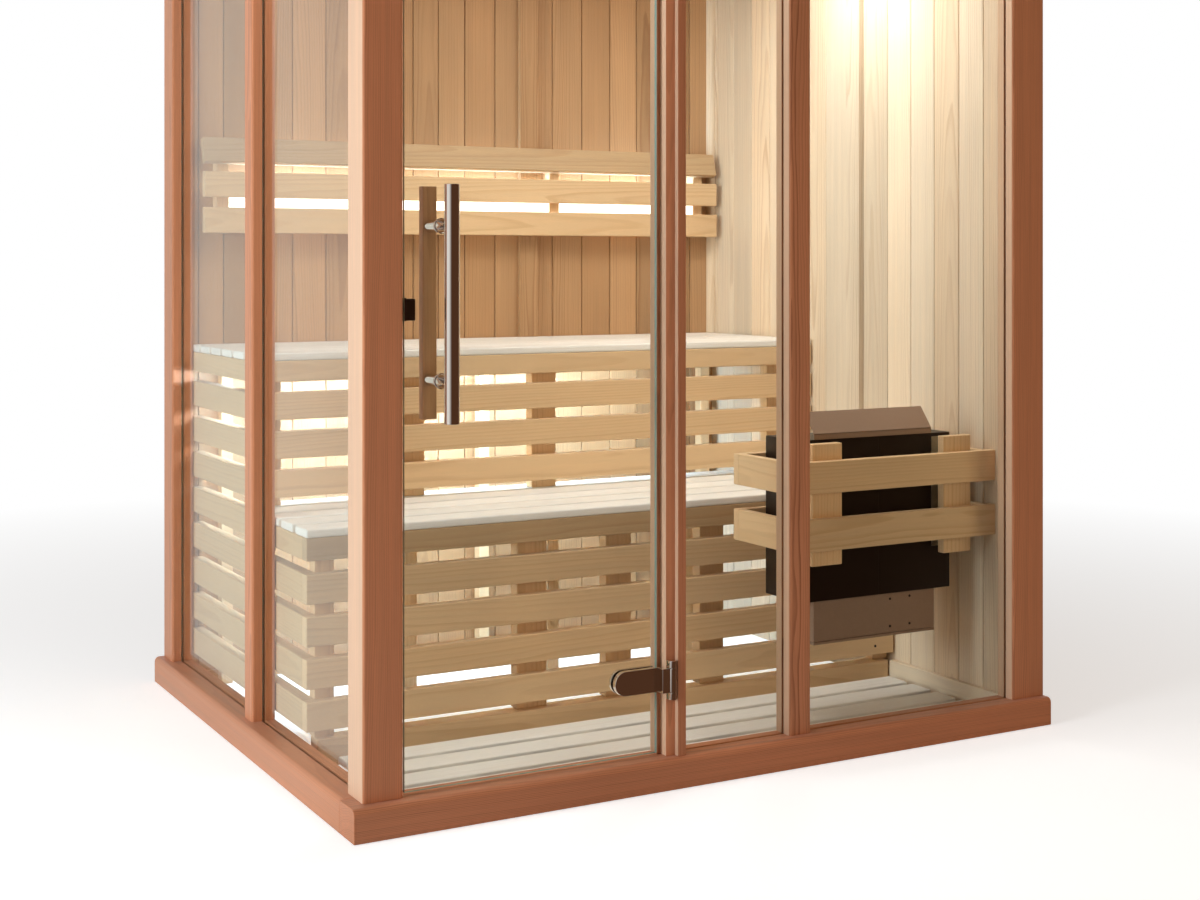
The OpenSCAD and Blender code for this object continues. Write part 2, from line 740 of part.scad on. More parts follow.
front_sill();
left_sill();
front_header();
left_header();
corner_post();
hinge_post();
hinge_post_cover();
front_middle_post();
front_right_post();
left_middle_post();
rear_left_post();
back_wall_left_panel();
back_wall_right_panel();
back_wall_batten();
right_wall_rear_panel();
right_wall_front_panel();
right_wall_batten();
right_wall_skirting();
back_wall_skirting();
wall_corner_trim();
roof_panel();
front_middle_glass();
front_right_glass();
left_front_glass();
left_rear_glass();
door_glass();
door_hinge_clamps();
door_hinge_brackets();
door_handle_outer();
door_handle_inner();
door_catch();
upper_bench_top();
upper_bench_skirt();
upper_bench_frame();
lower_bench_top();
lower_bench_skirt();
lower_bench_frame();
bench_side_skirt();
backrest();
heater_body();
heater_box();
heater_deflector();
heater_wall_arms();
heater_guard();
duckboard();
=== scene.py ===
import math
import random

import bmesh
import bpy
from mathutils import Matrix, Vector


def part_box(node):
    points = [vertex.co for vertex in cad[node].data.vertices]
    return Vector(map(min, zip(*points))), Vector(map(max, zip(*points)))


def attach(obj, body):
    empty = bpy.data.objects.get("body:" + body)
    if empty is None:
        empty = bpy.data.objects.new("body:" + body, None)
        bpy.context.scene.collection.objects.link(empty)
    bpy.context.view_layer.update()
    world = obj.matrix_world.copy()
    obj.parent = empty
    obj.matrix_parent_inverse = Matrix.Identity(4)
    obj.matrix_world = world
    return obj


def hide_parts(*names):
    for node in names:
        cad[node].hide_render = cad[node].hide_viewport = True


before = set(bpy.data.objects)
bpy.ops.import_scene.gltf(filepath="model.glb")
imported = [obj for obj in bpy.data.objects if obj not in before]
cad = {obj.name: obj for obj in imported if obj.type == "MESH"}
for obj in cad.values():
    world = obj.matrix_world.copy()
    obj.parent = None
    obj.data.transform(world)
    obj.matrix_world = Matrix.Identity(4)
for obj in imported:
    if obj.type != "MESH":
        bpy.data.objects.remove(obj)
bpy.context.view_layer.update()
scene = bpy.context.scene
scene.view_settings.view_transform = "Standard"
print("frame loaded:", len(cad), "nodes")


shot = {
    "place": (-1.1969, -3.0614, 1.080),
    "turn": 0.5056,  # radians to the right of straight ahead
    "lens": 51.67,
    "sensor": 36,
    "drop": -0.15625,  # vertical shift
}
eye = bpy.data.cameras.new("eye")
eye.lens, eye.sensor_width, eye.shift_y = shot["lens"], shot["sensor"], shot["drop"]
camera = bpy.data.objects.new("camera", eye)
camera.location = shot["place"]
camera.rotation_euler = (math.pi / 2, 0, -shot["turn"])
scene.collection.objects.link(camera)
scene.camera = camera


def tint(red, green, blue):  # screen colour, 0 to 255, as the linear colour shaders take
    def straight(c):
        c = c / 255
        return c / 12.92 if c < 0.04045 else ((c + 0.055) / 1.055) ** 2.4

    return (straight(red), straight(green), straight(blue), 1)


class Sock:  # an output socket that can be added, multiplied and so on
    def __init__(self, paint, socket):
        self.paint, self.socket = paint, socket

    def work(self, operation, first, second=0.0, clamp=False):
        return self.paint.add("Math", {"operation": operation, "use_clamp": clamp},
                              {0: first, 1: second}, 0)

    def __add__(self, other):
        return self.work("ADD", self, other)

    def __sub__(self, other):
        return self.work("SUBTRACT", self, other)

    def __mul__(self, other):
        return self.work("MULTIPLY", self, other)

    def __truediv__(self, other):
        return self.work("DIVIDE", self, other)

    def __pow__(self, other):
        return self.work("POWER", self, other)

    def __rsub__(self, other):
        return self.work("SUBTRACT", other, self)

    def __rtruediv__(self, other):
        return self.work("DIVIDE", other, self)

    __radd__, __rmul__ = __add__, __mul__

    def most(self, other):
        return self.work("MAXIMUM", self, other)

    def least(self, other):
        return self.work("MINIMUM", self, other)

    def part(self, name):
        return Sock(self.paint, self.socket.node.outputs[name])


class Paint:  # builds one node tree
    def __init__(self, tree):
        self.tree = tree
        tree.nodes.clear()

    def add(self, kind, settings=None, values=None, out=0):
        node = self.tree.nodes.new("ShaderNode" + kind)
        for key, value in (settings or {}).items():
            if key == "stops":
                ramp = node.color_ramp
                while len(ramp.elements) < len(value):
                    ramp.elements.new(1)
                for spot, (place, grey) in zip(ramp.elements, value):
                    spot.position, spot.color = place, (grey, grey, grey, 1)
            else:
                setattr(node, key, value)
        for key, value in (values or {}).items():
            spot = node.inputs[key]
            if isinstance(value, Sock):
                self.tree.links.new(value.socket, spot)
            else:
                spot.default_value = value
        return Sock(self, node.outputs[out]) if node.outputs else None

    def split(self, vector):
        parts = self.add("SeparateXYZ", {}, {0: vector})
        return parts, parts.part("Y"), parts.part("Z")

    def noise(self, vector, stretch, detail=2.0, roughness=0.5):
        spread = self.add("VectorMath", {"operation": "MULTIPLY"}, {0: vector, 1: stretch})
        return self.add("TexNoise", {}, {"Vector": spread, "Scale": 1.0, "Detail": detail,
                                         "Roughness": roughness}, "Fac")

    def blend(self, share, first, second, kind="MIX"):
        return self.add("Mix", {"data_type": "RGBA", "blend_type": kind},
                        {0: share, 6: first, 7: second}, 2)

    def scaled(self, colour, amount):
        start = colour if isinstance(colour, Sock) else colour[:3]
        return self.add("VectorMath", {"operation": "SCALE"}, {0: start, "Scale": amount})

    def finish(self, surface, kind="OutputMaterial"):
        self.add(kind, {}, {"Surface": surface})


def newPaint(name):
    material = bpy.data.materials.new(name)
    material.use_nodes = True
    return material, Paint(material.node_tree)


studio = {
    "white": (1, 1, 1, 1),
    "ambient": (0.10, 0.074, 0.052, 1),
    "bright": (0.84, 0.81, 0.78, 1),  # what metal and glass mirror from behind and from the left
    "dim": (0.085, 0.036, 0.018, 1),  # what they mirror from the front right
    "dimTowards": (0.55, -0.83, 0.0),
    "floor": tint(236, 235, 233),
    "floorGlow": 0.55,
    "middle": (0.8, 0.65, 0.0),
    "fade": [(0.10, 0), (0.42, 1)],  # tenths of 10 m from the middle, where the floor turns white
}
world = bpy.data.worlds.new("studio")
world.use_nodes = True
scene.world = world
paint = Paint(world.node_tree)
ray = paint.add("LightPath", {}, {}, "Is Camera Ray")
way = paint.add("TexCoord", {}, {}, "Generated")
facing = paint.add("VectorMath", {"operation": "DOT_PRODUCT"},
                   {0: way, 1: Vector(studio["dimTowards"]).normalized()}, "Value")
dimness = paint.add("ValToRGB", {"stops": [(0.40, 0), (0.70, 1)]}, {0: facing * 0.5 + 0.5})
mirrored = paint.blend(dimness, studio["bright"], studio["dim"])
around = paint.blend(ray.part("Is Glossy Ray"), studio["ambient"], mirrored)
sky = paint.blend(ray.most(ray.part("Is Transmission Ray")), around, studio["white"])
paint.finish(paint.add("Background", {}, {"Color": sky, "Strength": 1.0}), "OutputWorld")

floorMesh = bpy.data.meshes.new("floor")
floorMesh.from_pydata([(-30, -30, -0.001), (30, -30, -0.001), (30, 30, -0.001), (-30, 30, -0.001)],
                      [], [(0, 1, 2, 3)])
floor = bpy.data.objects.new("floor", floorMesh)
scene.collection.objects.link(floor)
floorPaint, paint = newPaint("floor")
ray = paint.add("LightPath", {}, {}, "Is Camera Ray")
place = paint.add("NewGeometry", {}, {}, "Position")
offset = paint.add("VectorMath", {"operation": "SUBTRACT"}, {0: place, 1: studio["middle"]})
away = paint.add("VectorMath", {"operation": "LENGTH"}, {0: offset}, "Value")
faded = paint.add("ValToRGB", {"stops": studio["fade"]}, {0: away * 0.1})
onward = paint.add("VectorMath", {"operation": "NORMALIZE"}, {0: offset})
facing = paint.add("VectorMath", {"operation": "DOT_PRODUCT"},
                   {0: onward, 1: Vector(studio["dimTowards"]).normalized()}, "Value")
dimness = paint.add("ValToRGB", {"stops": [(0.40, 0), (0.70, 1)]}, {0: facing * 0.5 + 0.5})
mirrored = paint.blend(dimness, studio["bright"], studio["dim"])
matt = paint.add("BsdfPrincipled", {}, {"Base Color": studio["floor"], "Roughness": 0.9,
                                        "Specular IOR Level": 0.1})
glow = paint.add("Emission", {}, {"Color": (1, 1, 1, 1), "Strength": studio["floorGlow"]})
white = paint.add("Emission", {}, {"Color": (1, 1, 1, 1), "Strength": 1.0})
near = paint.add("AddShader", {}, {0: matt, 1: glow})
shown = paint.add("MixShader", {}, {0: faded, 1: near, 2: white})
direct = paint.add("MixShader", {}, {0: ray.most(ray.part("Is Transmission Ray")), 1: matt,
                                     2: shown})
mirror = paint.add("Emission", {}, {"Color": mirrored, "Strength": 1.0})
paint.finish(paint.add("MixShader", {}, {0: ray.part("Is Glossy Ray"), 1: direct, 2: mirror}))
floorMesh.materials.append(floorPaint)

lamps = {  # place, target, width, height, watts, colour, seen in mirrors
    "leftSoftbox": ((-4.4, -0.55, 1.7), (0.2, 0.1, 0.9), 2.2, 2.6, 212, (0.92, 1, 1.08), False),
    "frontFill": ((2.9, -3.4, 1.7), (1.3, 0.4, 0.7), 1.8, 1.8, 34, (1, 0.72, 0.50), False),
    "overhead": ((0.2, -1.0, 4.2), (0.7, 0.6, 0.0), 3.2, 2.4, 12, (1, 1, 1), False),
    "ceilingLamp": ((1.42, 0.53, 1.97), (1.42, 0.53, 0.0), 0.12, 0.12, 3.0, (0.97, 1, 1.04), False),
    "ceilingGlow": ((0.8, 0.5, 1.96), (0.8, 0.5, 0.0), 1.3, 0.7, 7.8, (0.96, 1, 1.06), False),
    "frontGlow": ((0.85, 0.2, 1.96), (0.85, 0.2, 0.0), 1.3, 0.25, 5.2, (1, 0.98, 0.93), False),
    "behindRest": ((0.8, 1.296, 1.262), (0.8, 1.296, 1.9), 1.45, 0.015, 4.2, (0.60, 0.92, 1.35),
                   False),
    "underBench": ((0.62, 1.00, 0.79), (0.62, 1.315, 0.50), 1.1, 0.03, 16, (0.62, 0.93, 1.3),
                   False),
}


def aim(place, target):
    return (Vector(target) - Vector(place)).to_track_quat("-Z", "Y")


for name, (place, target, wide, high, watts, colour, mirroredToo) in lamps.items():
    lamp = bpy.data.lights.new(name, "AREA")
    lamp.shape, lamp.size, lamp.size_y = "RECTANGLE", wide, high
    lamp.energy, lamp.color = watts, colour
    lampObject = bpy.data.objects.new(name, lamp)
    lampObject.location = place
    lampObject.rotation_mode = "QUATERNION"
    lampObject.rotation_quaternion = aim(place, target)
    lampObject.visible_camera = False
    lampObject.visible_glossy = mirroredToo
    lampObject.visible_transmission = False
    scene.collection.objects.link(lampObject)
print("camera, floor and lamps set")


cedarLook = {
    "light": tint(200, 134, 95), "dark": tint(122, 62, 35), "warm": (1.10, 0.93, 0.86, 1),
    "ring": 0.0030, "lines": 0.66, "spread": 0.10, "hue": 0.4, "streak": 0.30, "fibre": 0.30,
    "pores": 0.10, "blotch": 0.18, "rough": 0.46, "coat": 0.12, "sheen": 0.10,
}
# paler copy of the cedar for the front posts' left faces: painted light and painted sheen from the
# lamp at the left
leftLitCedarLook = dict(cedarLook, light=tint(220, 182, 150), dark=tint(190, 146, 112), lines=0.5,
                     warm=(1.04, 0.96, 0.91, 1))
darkCedarLook = {
    "light": tint(214, 166, 120), "dark": tint(148, 100, 64), "warm": (1.06, 0.95, 0.88, 1),
    "ring": 0.0034, "lines": 0.5, "spread": 0.06, "hue": 0.3, "streak": 0.35, "fibre": 0.35,
    "pores": 0.15, "blotch": 0.18, "rough": 0.5, "coat": 0.05, "sheen": 0.05,
}
benchLook = {
    "light": tint(232, 198, 154), "dark": tint(194, 146, 98), "warm": (1.02, 0.94, 0.84, 1),
    "ring": 0.0062, "lines": 0.42, "spread": 0.07, "hue": 0.5, "streak": 0.14, "fibre": 0.16,
    "pores": 0.16, "blotch": 0.12, "rough": 0.52, "coat": 0.05, "sheen": 0.05,
}
wallLook = {
    "light": tint(233, 214, 188), "dark": tint(186, 149, 112), "warm": (1.01, 0.93, 0.84, 1),
    "ring": 0.0046, "lines": 0.55, "spread": 0.17, "hue": 0.8, "streak": 0.22, "fibre": 0.18,
    "pores": 0.08, "blotch": 0.22, "rough": 0.5, "coat": 0.08, "sheen": 0.05,
}


# paler copy of the bench wood for the bench tops and duckboard: painted light from the ceiling lamp
# and painted reflection
litTopLook = dict(benchLook, light=tint(250, 246, 238), dark=tint(235, 224, 206), hue=0.15)
# darker copy of the wall wood for the back wall: painted shade, as the back wall gets less light
# than the right wall
shadedBackLook = dict(wallLook, light=tint(190, 148, 106), dark=tint(134, 88, 52), blotch=0.3, hue=0.5)
# near black-brown copy of the wall wood for the panel cores: painted shade that shows in the open
# joints between boards
gapShadeLook = dict(wallLook, light=tint(96, 62, 38), dark=tint(60, 36, 22))


def wood(name, look):
    material, paint = newPaint(name)
    grain = paint.add("Attribute", {"attribute_name": "grain"}, {}, "Vector")
    run, across, deep = paint.split(grain)
    bright, hue, figure = paint.split(paint.add("Attribute", {"attribute_name": "tone"}, {},
                                                "Vector"))
    wander = paint.noise(grain, (1.3, 9, 9), 3.0, 0.55) - 0.5
    ripple = paint.noise(grain, (14, 60, 60), 2.0) - 0.5
    streak = paint.noise(grain, (1.6, 70, 70), 3.0, 0.6) - 0.5
    fibre = paint.noise(grain, (9, 900, 900), 2.0, 0.6) - 0.5
    blotch = paint.noise(grain, (2.2, 7, 7), 2.0) - 0.5
    speck = paint.noise(grain, (55, 1300, 1300), 1.0)
    flat = paint.add("CombineXYZ", {}, {1: across, 2: deep})
    ring = paint.add("VectorMath", {"operation": "LENGTH"}, {0: flat}, "Value")
    turns = (ring + wander * 0.020 + ripple * 0.0012) / look["ring"]
    phase = turns.work("FRACT", turns)
    chance = paint.add("TexWhiteNoise", {"noise_dimensions": "1D"},
                       {"W": turns.work("FLOOR", turns)}, "Value")
    late = paint.add("ValToRGB", {"stops": [(0, 0), (0.5, 0.15), (0.84, 1), (0.95, 0.8), (1, 0)]},
                     {0: phase})
    line = late * (chance * 0.7 + 0.3) * (figure * 0.6 + 0.5)
    pore = paint.add("ValToRGB", {"stops": [(0.66, 0), (0.76, 1)]}, {0: speck})
    body = paint.blend(line * look["lines"], look["light"], look["dark"])
    warmth = ((hue * 0.5 + 0.5) * look["hue"]).work(
        "ADD", (hue * 0.5 + 0.5) * look["hue"], streak * look["hue"] * 0.8, True)
    warmed = paint.blend(warmth, body, paint.blend(1.0, body, look["warm"], "MULTIPLY"))
    level = (1 + bright * look["spread"] + streak * look["streak"] + fibre * look["fibre"]
             + blotch * look["blotch"] - pore * look["pores"])
    colour = paint.scaled(warmed, level)
    height = line * 0.4 + fibre * 0.8 - pore * 0.8
    bump = paint.add("Bump", {}, {"Strength": 0.22, "Distance": 0.0006, "Height": height},
                     "Normal")
    rough = look["rough"] + fibre * 0.16 + streak * 0.14 - line * 0.05
    paint.finish(paint.add("BsdfPrincipled", {}, {
        "Base Color": colour, "Roughness": rough, "Normal": bump,
        "Coat Weight": look["coat"], "Coat Roughness": 0.35,
        "Sheen Weight": look["sheen"], "Sheen Roughness": 0.4}))
    return material


glassLook = {
    "clear": (0.955, 0.975, 0.965, 1), "edge": tint(150, 178, 166), "least": 0.012,
    "steep": 0.8,
}


def glass(name, look):
    material, paint = newPaint(name)
    slope = paint.add("LayerWeight", {}, {"Blend": 0.5}, "Facing")
    share = look["least"] + slope ** 5 * look["steep"]
    smear = paint.noise(paint.add("TexCoord", {}, {}, "Object"), (3, 3, 2.2), 3.0)
    clear = paint.add("BsdfTransparent", {}, {"Color": look["clear"]})
    shine = paint.add("BsdfPrincipled", {}, {
        "Base Color": (1, 1, 1, 1), "Metallic": 1.0, "Roughness": smear * 0.03})
    paint.finish(paint.add("MixShader", {}, {0: share.least(1.0), 1: clear, 2: shine}))
    return material


def glassEdge(name, look):
    material, paint = newPaint(name)
    cloud = paint.noise(paint.add("TexCoord", {}, {}, "Object"), (40, 40, 9), 2.0)
    paint.finish(paint.add("BsdfPrincipled", {}, {
        "Base Color": paint.scaled(look["edge"], cloud * 0.5 + 0.75), "Roughness": 0.12}))
    return material


metalLooks = {
    "polishedSteel": {"colour": (0.80, 0.77, 0.73, 1), "metal": 1.0, "rough": 0.10,
                      "brush": 0.06, "fleck": 0.0, "stretch": (300, 300, 4)},
    "zinc": {"colour": (0.50, 0.52, 0.48, 1), "metal": 1.0, "rough": 0.34, "brush": 0.15,
             "fleck": 0.10, "stretch": (60, 60, 60)},
    "blackCoat": {"colour": (0.0085, 0.0035, 0.0022, 1), "metal": 0.0, "rough": 0.42,
                  "brush": 0.08, "fleck": 0.35, "stretch": (900, 900, 900)},
    "bronzeCoat": {"colour": tint(165, 138, 118), "metal": 0.15, "rough": 0.46, "brush": 0.10,
                   "fleck": 0.32, "stretch": (520, 520, 520)},
    "catchCoat": {"colour": tint(60, 30, 18), "metal": 0.3, "rough": 0.35, "brush": 0.1,
                  "fleck": 0.2, "stretch": (400, 400, 400)},
}


def metal(name, look):
    material, paint = newPaint(name)
    place = paint.add("TexCoord", {}, {}, "Object")
    grit = paint.noise(place, look["stretch"], 3.0, 0.7) - 0.5
    cloud = paint.noise(place, (5, 5, 5), 2.0) - 0.5
    colour = paint.scaled(look["colour"], 1 + grit * look["fleck"] * 2 + cloud * 0.10)
    bump = paint.add("Bump", {}, {"Strength": 0.12, "Distance": 0.0002, "Height": grit},
                     "Normal")
    paint.finish(paint.add("BsdfPrincipled", {}, {
        "Base Color": colour, "Metallic": look["metal"], "Normal": bump,
        "Roughness": look["rough"] + grit * look["brush"] + cloud * 0.05}))
    return material


def lightStrip(name, colour, strength):
    material, paint = newPaint(name)
    dots = paint.noise(paint.add("TexCoord", {}, {}, "Object"), (55, 1, 1), 1.0)
    paint.finish(paint.add("BsdfPrincipled", {}, {
        "Base Color": colour, "Roughness": 0.6, "Emission Strength": strength,
        "Emission Color": paint.scaled(colour, dots * 0.2 + 0.9)}))
    return material


cedar = wood("cedar", cedarLook)
darkCedar = wood("darkCedar", darkCedarLook)
leftLitCedar = wood("leftLitCedar", leftLitCedarLook)
benchWood = wood("benchWood", benchLook)
wallWood = wood("wallWood", wallLook)
backWood = wood("backWood", shadedBackLook)
litTopWood = wood("litTopWood", litTopLook)
gapShadeWood = wood("gapShadeWood", gapShadeLook)
clearGlass = glass("clearGlass", glassLook)
cutGlass = glassEdge("cutGlass", glassLook)
polishedSteel = metal("polishedSteel", metalLooks["polishedSteel"])
zinc = metal("zinc", metalLooks["zinc"])
blackCoat = metal("blackCoat", metalLooks["blackCoat"])
bronzeCoat = metal("bronzeCoat", metalLooks["bronzeCoat"])
catchCoat = metal("catchCoat", metalLooks["catchCoat"])
whiteLight = lightStrip("whiteLight", (1, 0.97, 0.92, 1), 2.2)
print("finishes mixed")


mm = 0.001


def spot(x, y, z):
    return Vector((x * mm, y * mm, z * mm))


class Stack:  # gathers shapes in one mesh, each with its own stretch of grain
    def __init__(self, seed):
        self.luck = random.Random(seed)
        self.points, self.faces, self.skins = [], [], []
        self.grain, self.tone = [], []

    def take(self, shape, along="X", tone=None, turn=None, skin=0):
        low = Vector([min(v.co[i] for v in shape.verts) for i in range(3)])
        high = Vector([max(v.co[i] for v in shape.verts) for i in range(3)])
        axis = "XYZ".index(along)
        wide, thin = sorted((i for i in range(3) if i != axis), key=lambda i: low[i] - high[i])
        luck = self.luck
        start = (luck.uniform(0, 30), luck.uniform(-0.07, 0.07), luck.uniform(0.03, 0.11))
        lean = (luck.uniform(-0.006, 0.006), luck.uniform(-0.02, 0.02))
        chance = (luck.uniform(-1, 1), luck.uniform(-1, 1), luck.uniform(0, 1))
        shape.verts.index_update()
        base = len(self.points)
        for v in shape.verts:
            away = v.co - low
            self.grain.append((start[0] + away[axis], start[1] + away[wide] + away[axis] * lean[0],
                               start[2] + away[thin] + away[axis] * lean[1]))
            self.tone.append(tone or chance)
            self.points.append(turn @ v.co if turn else v.co.copy())
        for f in shape.faces:
            self.faces.append([base + v.index for v in f.verts])
            self.skins.append(skin + f.material_index)
        shape.free()

    def board(self, low, high, along="X", edge=1.5, cuts=2, tone=None, turn=None, choose=None,
              skin=0):
        low, high = spot(*low), spot(*high)
        shape = bmesh.new()
        bmesh.ops.create_cube(shape, size=1)
        for v in shape.verts:
            v.co = Vector([low[i] + (v.co[i] + 0.5) * (high[i] - low[i]) for i in range(3)])
        picked = [e for e in shape.edges if choose is None or choose(
            (e.verts[0].co + e.verts[1].co) / 2, (e.verts[1].co - e.verts[0].co).normalized())]
        bmesh.ops.bevel(shape, geom=picked, offset=edge * mm, segments=cuts, profile=0.5,
                        affect="EDGES", clamp_overlap=True)
        self.take(shape, along, tone, turn, skin)

    def dowel(self, start, end, radius, edge=1.0, sides=40, cuts=2, skin=0):
        start, end = spot(*start), spot(*end)
        shape = bmesh.new()
        bmesh.ops.create_cone(shape, cap_ends=True, segments=sides, radius1=radius * mm,
                              radius2=radius * mm, depth=(end - start).length)
        rims = [e for e in shape.edges if e.calc_face_angle() > 0.7]
        bmesh.ops.bevel(shape, geom=rims, offset=edge * mm, segments=cuts, profile=0.5,
                        affect="EDGES", clamp_overlap=True)
        way = (end - start).to_track_quat("Z", "Y").to_matrix().to_4x4()
        shape.transform(Matrix.Translation((start + end) / 2) @ way)
        self.take(shape, "XYZ"[max(range(3), key=lambda i: abs((end - start)[i]))], skin=skin)

    def build(self, name, finishes, slot, nodes=(), body="root"):
        mesh = bpy.data.meshes.new(name)
        mesh.from_pydata(self.points, [], self.faces)
        for layer, values in (("grain", self.grain), ("tone", self.tone)):
            data = mesh.attributes.new(layer, "FLOAT_VECTOR", "POINT").data
            data.foreach_set("vector", [c for value in values for c in value])
        for finish in finishes:
            mesh.materials.append(finish)
        mesh.polygons.foreach_set("material_index", self.skins)
        mesh.polygons.foreach_set("use_smooth", [True] * len(self.faces))
        mesh.set_sharp_from_angle(angle=math.radians(50))
        mesh.validate()
        piece = bpy.data.objects.new(name, mesh)
        scene.collection.objects.link(piece)
        even = piece.modifiers.new("even", "WEIGHTED_NORMAL")
        even.keep_sharp = True
        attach(piece, body)
        if nodes:
            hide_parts(*nodes)
        return piece


def islandsOf(shape):
    left = set(shape.verts)
    while left:
        group, todo = set(), [left.pop()]
        while todo:
            v = todo.pop()
            group.add(v)
            for e in v.link_edges:
                other = e.other_vert(v)
                if other in left:
                    left.discard(other)
                    todo.append(other)
        yield group


def dressed(name, node, along, finishes, slot, edge=1.2, cuts=2, seed=1, body="root", tone=None,
            skinOf=None):
    # a copy of a solid with its sharp edges eased and its own grain
    shape = bmesh.new()
    shape.from_mesh(cad[node].data)
    bmesh.ops.remove_doubles(shape, verts=shape.verts, dist=1e-5)
    bmesh.ops.dissolve_limit(shape, angle_limit=0.02, verts=shape.verts, edges=shape.edges)
    sharp = [e for e in shape.edges
             if e.is_manifold and e.is_convex and e.calc_face_angle() > 0.7]
    bmesh.ops.bevel(shape, geom=sharp, offset=edge * mm, segments=cuts, profile=0.5,
                    affect="EDGES", clamp_overlap=True)
    for f in shape.faces:
        f.material_index = skinOf(f) if skinOf else 0
    stack = Stack(seed)
    shape.verts.index_update()
    for group in islandsOf(shape):
        keep = {v.index for v in group}
        single = shape.copy()
        bmesh.ops.delete(single, geom=[v for v in single.verts if v.index not in keep],
                         context="VERTS")
        stack.take(single, along, tone)
    shape.free()
    return stack.build(name, finishes, slot, (node,), body)


def corners(node):
    low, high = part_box(node)
    return [c / mm for c in low], [c / mm for c in high]


def solids(node):  # boxes of a node's separate solids, in millimetres, from the front up
    shape = bmesh.new()
    shape.from_mesh(cad[node].data)
    bmesh.ops.remove_doubles(shape, verts=shape.verts, dist=1e-5)
    boxes = [([min(v.co[i] for v in group) / mm for i in range(3)],
              [max(v.co[i] for v in group) / mm for i in range(3)]) for group in islandsOf(shape)]
    shape.free()
    return sorted(boxes, key=lambda b: [round(c) for c in (b[0][1], b[0][2], b[0][0])])


def screwHeads(stack, places, radius, front, skin=0):  # places are x and z on a face at y = front
    for x, z in places:
        stack.dowel((x, front - 1.2, z), (x, front + 0.5, z), radius, 0.5, 20, 2, skin)


frameTimbers = {  # piece: node, grain direction, easing of the edges
    "front_sill_timber": ("front_sill", "X", 1.5),
    "left_sill_timber": ("left_sill", "Y", 1.5),
    "front_header_timber": ("front_header", "X", 1.5),
    "left_header_timber": ("left_header", "Y", 1.5),
    "corner_post_timber": ("corner_post", "Z", 0.8),
    "hinge_post_timber": ("hinge_post", "Z", 0.8),
    "hinge_post_strip": ("hinge_post_cover", "Z", 1.5),
    "front_middle_post_timber": ("front_middle_post", "Z", 0.8),
    "front_right_post_timber": ("front_right_post", "Z", 0.8),
    "left_middle_post_timber": ("left_middle_post", "Z", 0.8),
    "rear_left_post_timber": ("rear_left_post", "Z", 0.8),
}
for seed, (name, (node, along, edge)) in enumerate(frameTimbers.items()):
    litLeftFaces = node in ("corner_post", "hinge_post", "hinge_post_cover", "front_middle_post",
                    "front_right_post")  # painted light: paler wood on their left faces, lit by the lamp at the left
    dressed(name, node, along, [cedar, leftLitCedar], "frame_wood", edge, 2, 100 + seed,
            skinOf=lambda f: 1 if litLeftFaces and f.normal.x < -0.9 else 0)
print("frame timbers dressed")

cladding = {
    "inner": 12,  # thickness of the inner boards
    "outer": 14,
    "groove": 2.2,
    "gap": 0.7,  # half of the open joint between two boards
    "outerPitch": 120,
    "backLines": [45, 111, 204, 297, 390, 483, 548, 641, 716, 796, 889, 1070, 1166, 1259, 1348,
                  1439, 1532],
    "rightLines": [58, 110, 199, 291, 382, 475, 741, 831, 921, 1011, 1102, 1195, 1281],
}


def wallPanel(name, node, wall, lines, seed):
    # boards inside and outside on a core; wall is the axis that the boards stand side by side on
    low, high = corners(node)
    side, deep = ("X", 1) if wall == "back" else ("Y", 0)
    run = "XYZ".index(side)
    stack = Stack(seed)

    def strip(a, b, near, far, choose):
        p, q = list(low), list(high)
        p[run] = a if a == low[run] else a + cladding["gap"]
        q[run] = b if b == high[run] else b - cladding["gap"]
        p[deep], q[deep] = near, far
        stack.board(p, q, "Z", cladding["groove"], 1, choose=choose)

    inner, outer = low[deep], high[deep]

    def onFace(level):
        return lambda middle, way: abs(way.z) > 0.9 and abs(middle[deep] / mm - level) < 0.5

    places = [low[run]] + [c for c in lines if low[run] + 15 < c < high[run] - 15] + [high[run]]
    for a, b in zip(places, places[1:]):
        strip(a, b, inner, inner + cladding["inner"], onFace(inner))
    count = max(1, round((high[run] - low[run]) / cladding["outerPitch"]))
    step = (high[run] - low[run]) / count
    ends = [low[run] + i * step for i in range(count)] + [high[run]]
    for a, b in zip(ends, ends[1:]):
        strip(a, b, outer - cladding["outer"], outer, onFace(outer))
    # the core between the board layers, in the dark copy: painted shade in the joints
    p, q = list(low), list(high)
    p[deep], q[deep] = inner + cladding["inner"], outer - cladding["outer"]
    stack.board(p, q, "Z", 0.5, 1, skin=1)
    # the back wall takes the darker copy: painted shade
    finish = backWood if wall == "back" else wallWood
    return stack.build(name, [finish, gapShadeWood], "wall_wood", (node,))


wallPanel("back_wall_left_boards", "back_wall_left_panel", "back", cladding["backLines"], 11)
wallPanel("back_wall_right_boards", "back_wall_right_panel", "back", cladding["backLines"], 12)
wallPanel("right_wall_rear_boards", "right_wall_rear_panel", "right", cladding["rightLines"], 13)
wallPanel("right_wall_front_boards", "right_wall_front_panel", "right", cladding["rightLines"],
          14)
# strips on the back wall take the darker copy too: painted shade
for seed, (name, node, along) in enumerate([
        ("back_wall_cover_strip", "back_wall_batten", "Z"),
        ("right_wall_cover_strip", "right_wall_batten", "Z"),
        ("right_base_rail", "right_wall_skirting", "Y"),
        ("back_skirting_board", "back_wall_skirting", "X"),
        ("corner_quarter_round", "wall_corner_trim", "Z")]):
    dressed(name, node, along, [backWood if node.startswith("back") else wallWood],
            "wall_wood", 1.5, 2, 30 + seed)

roof = {"edgeBoard": 20, "lining": 12, "deck": 16, "pitch": 118, "groove": 3.0}


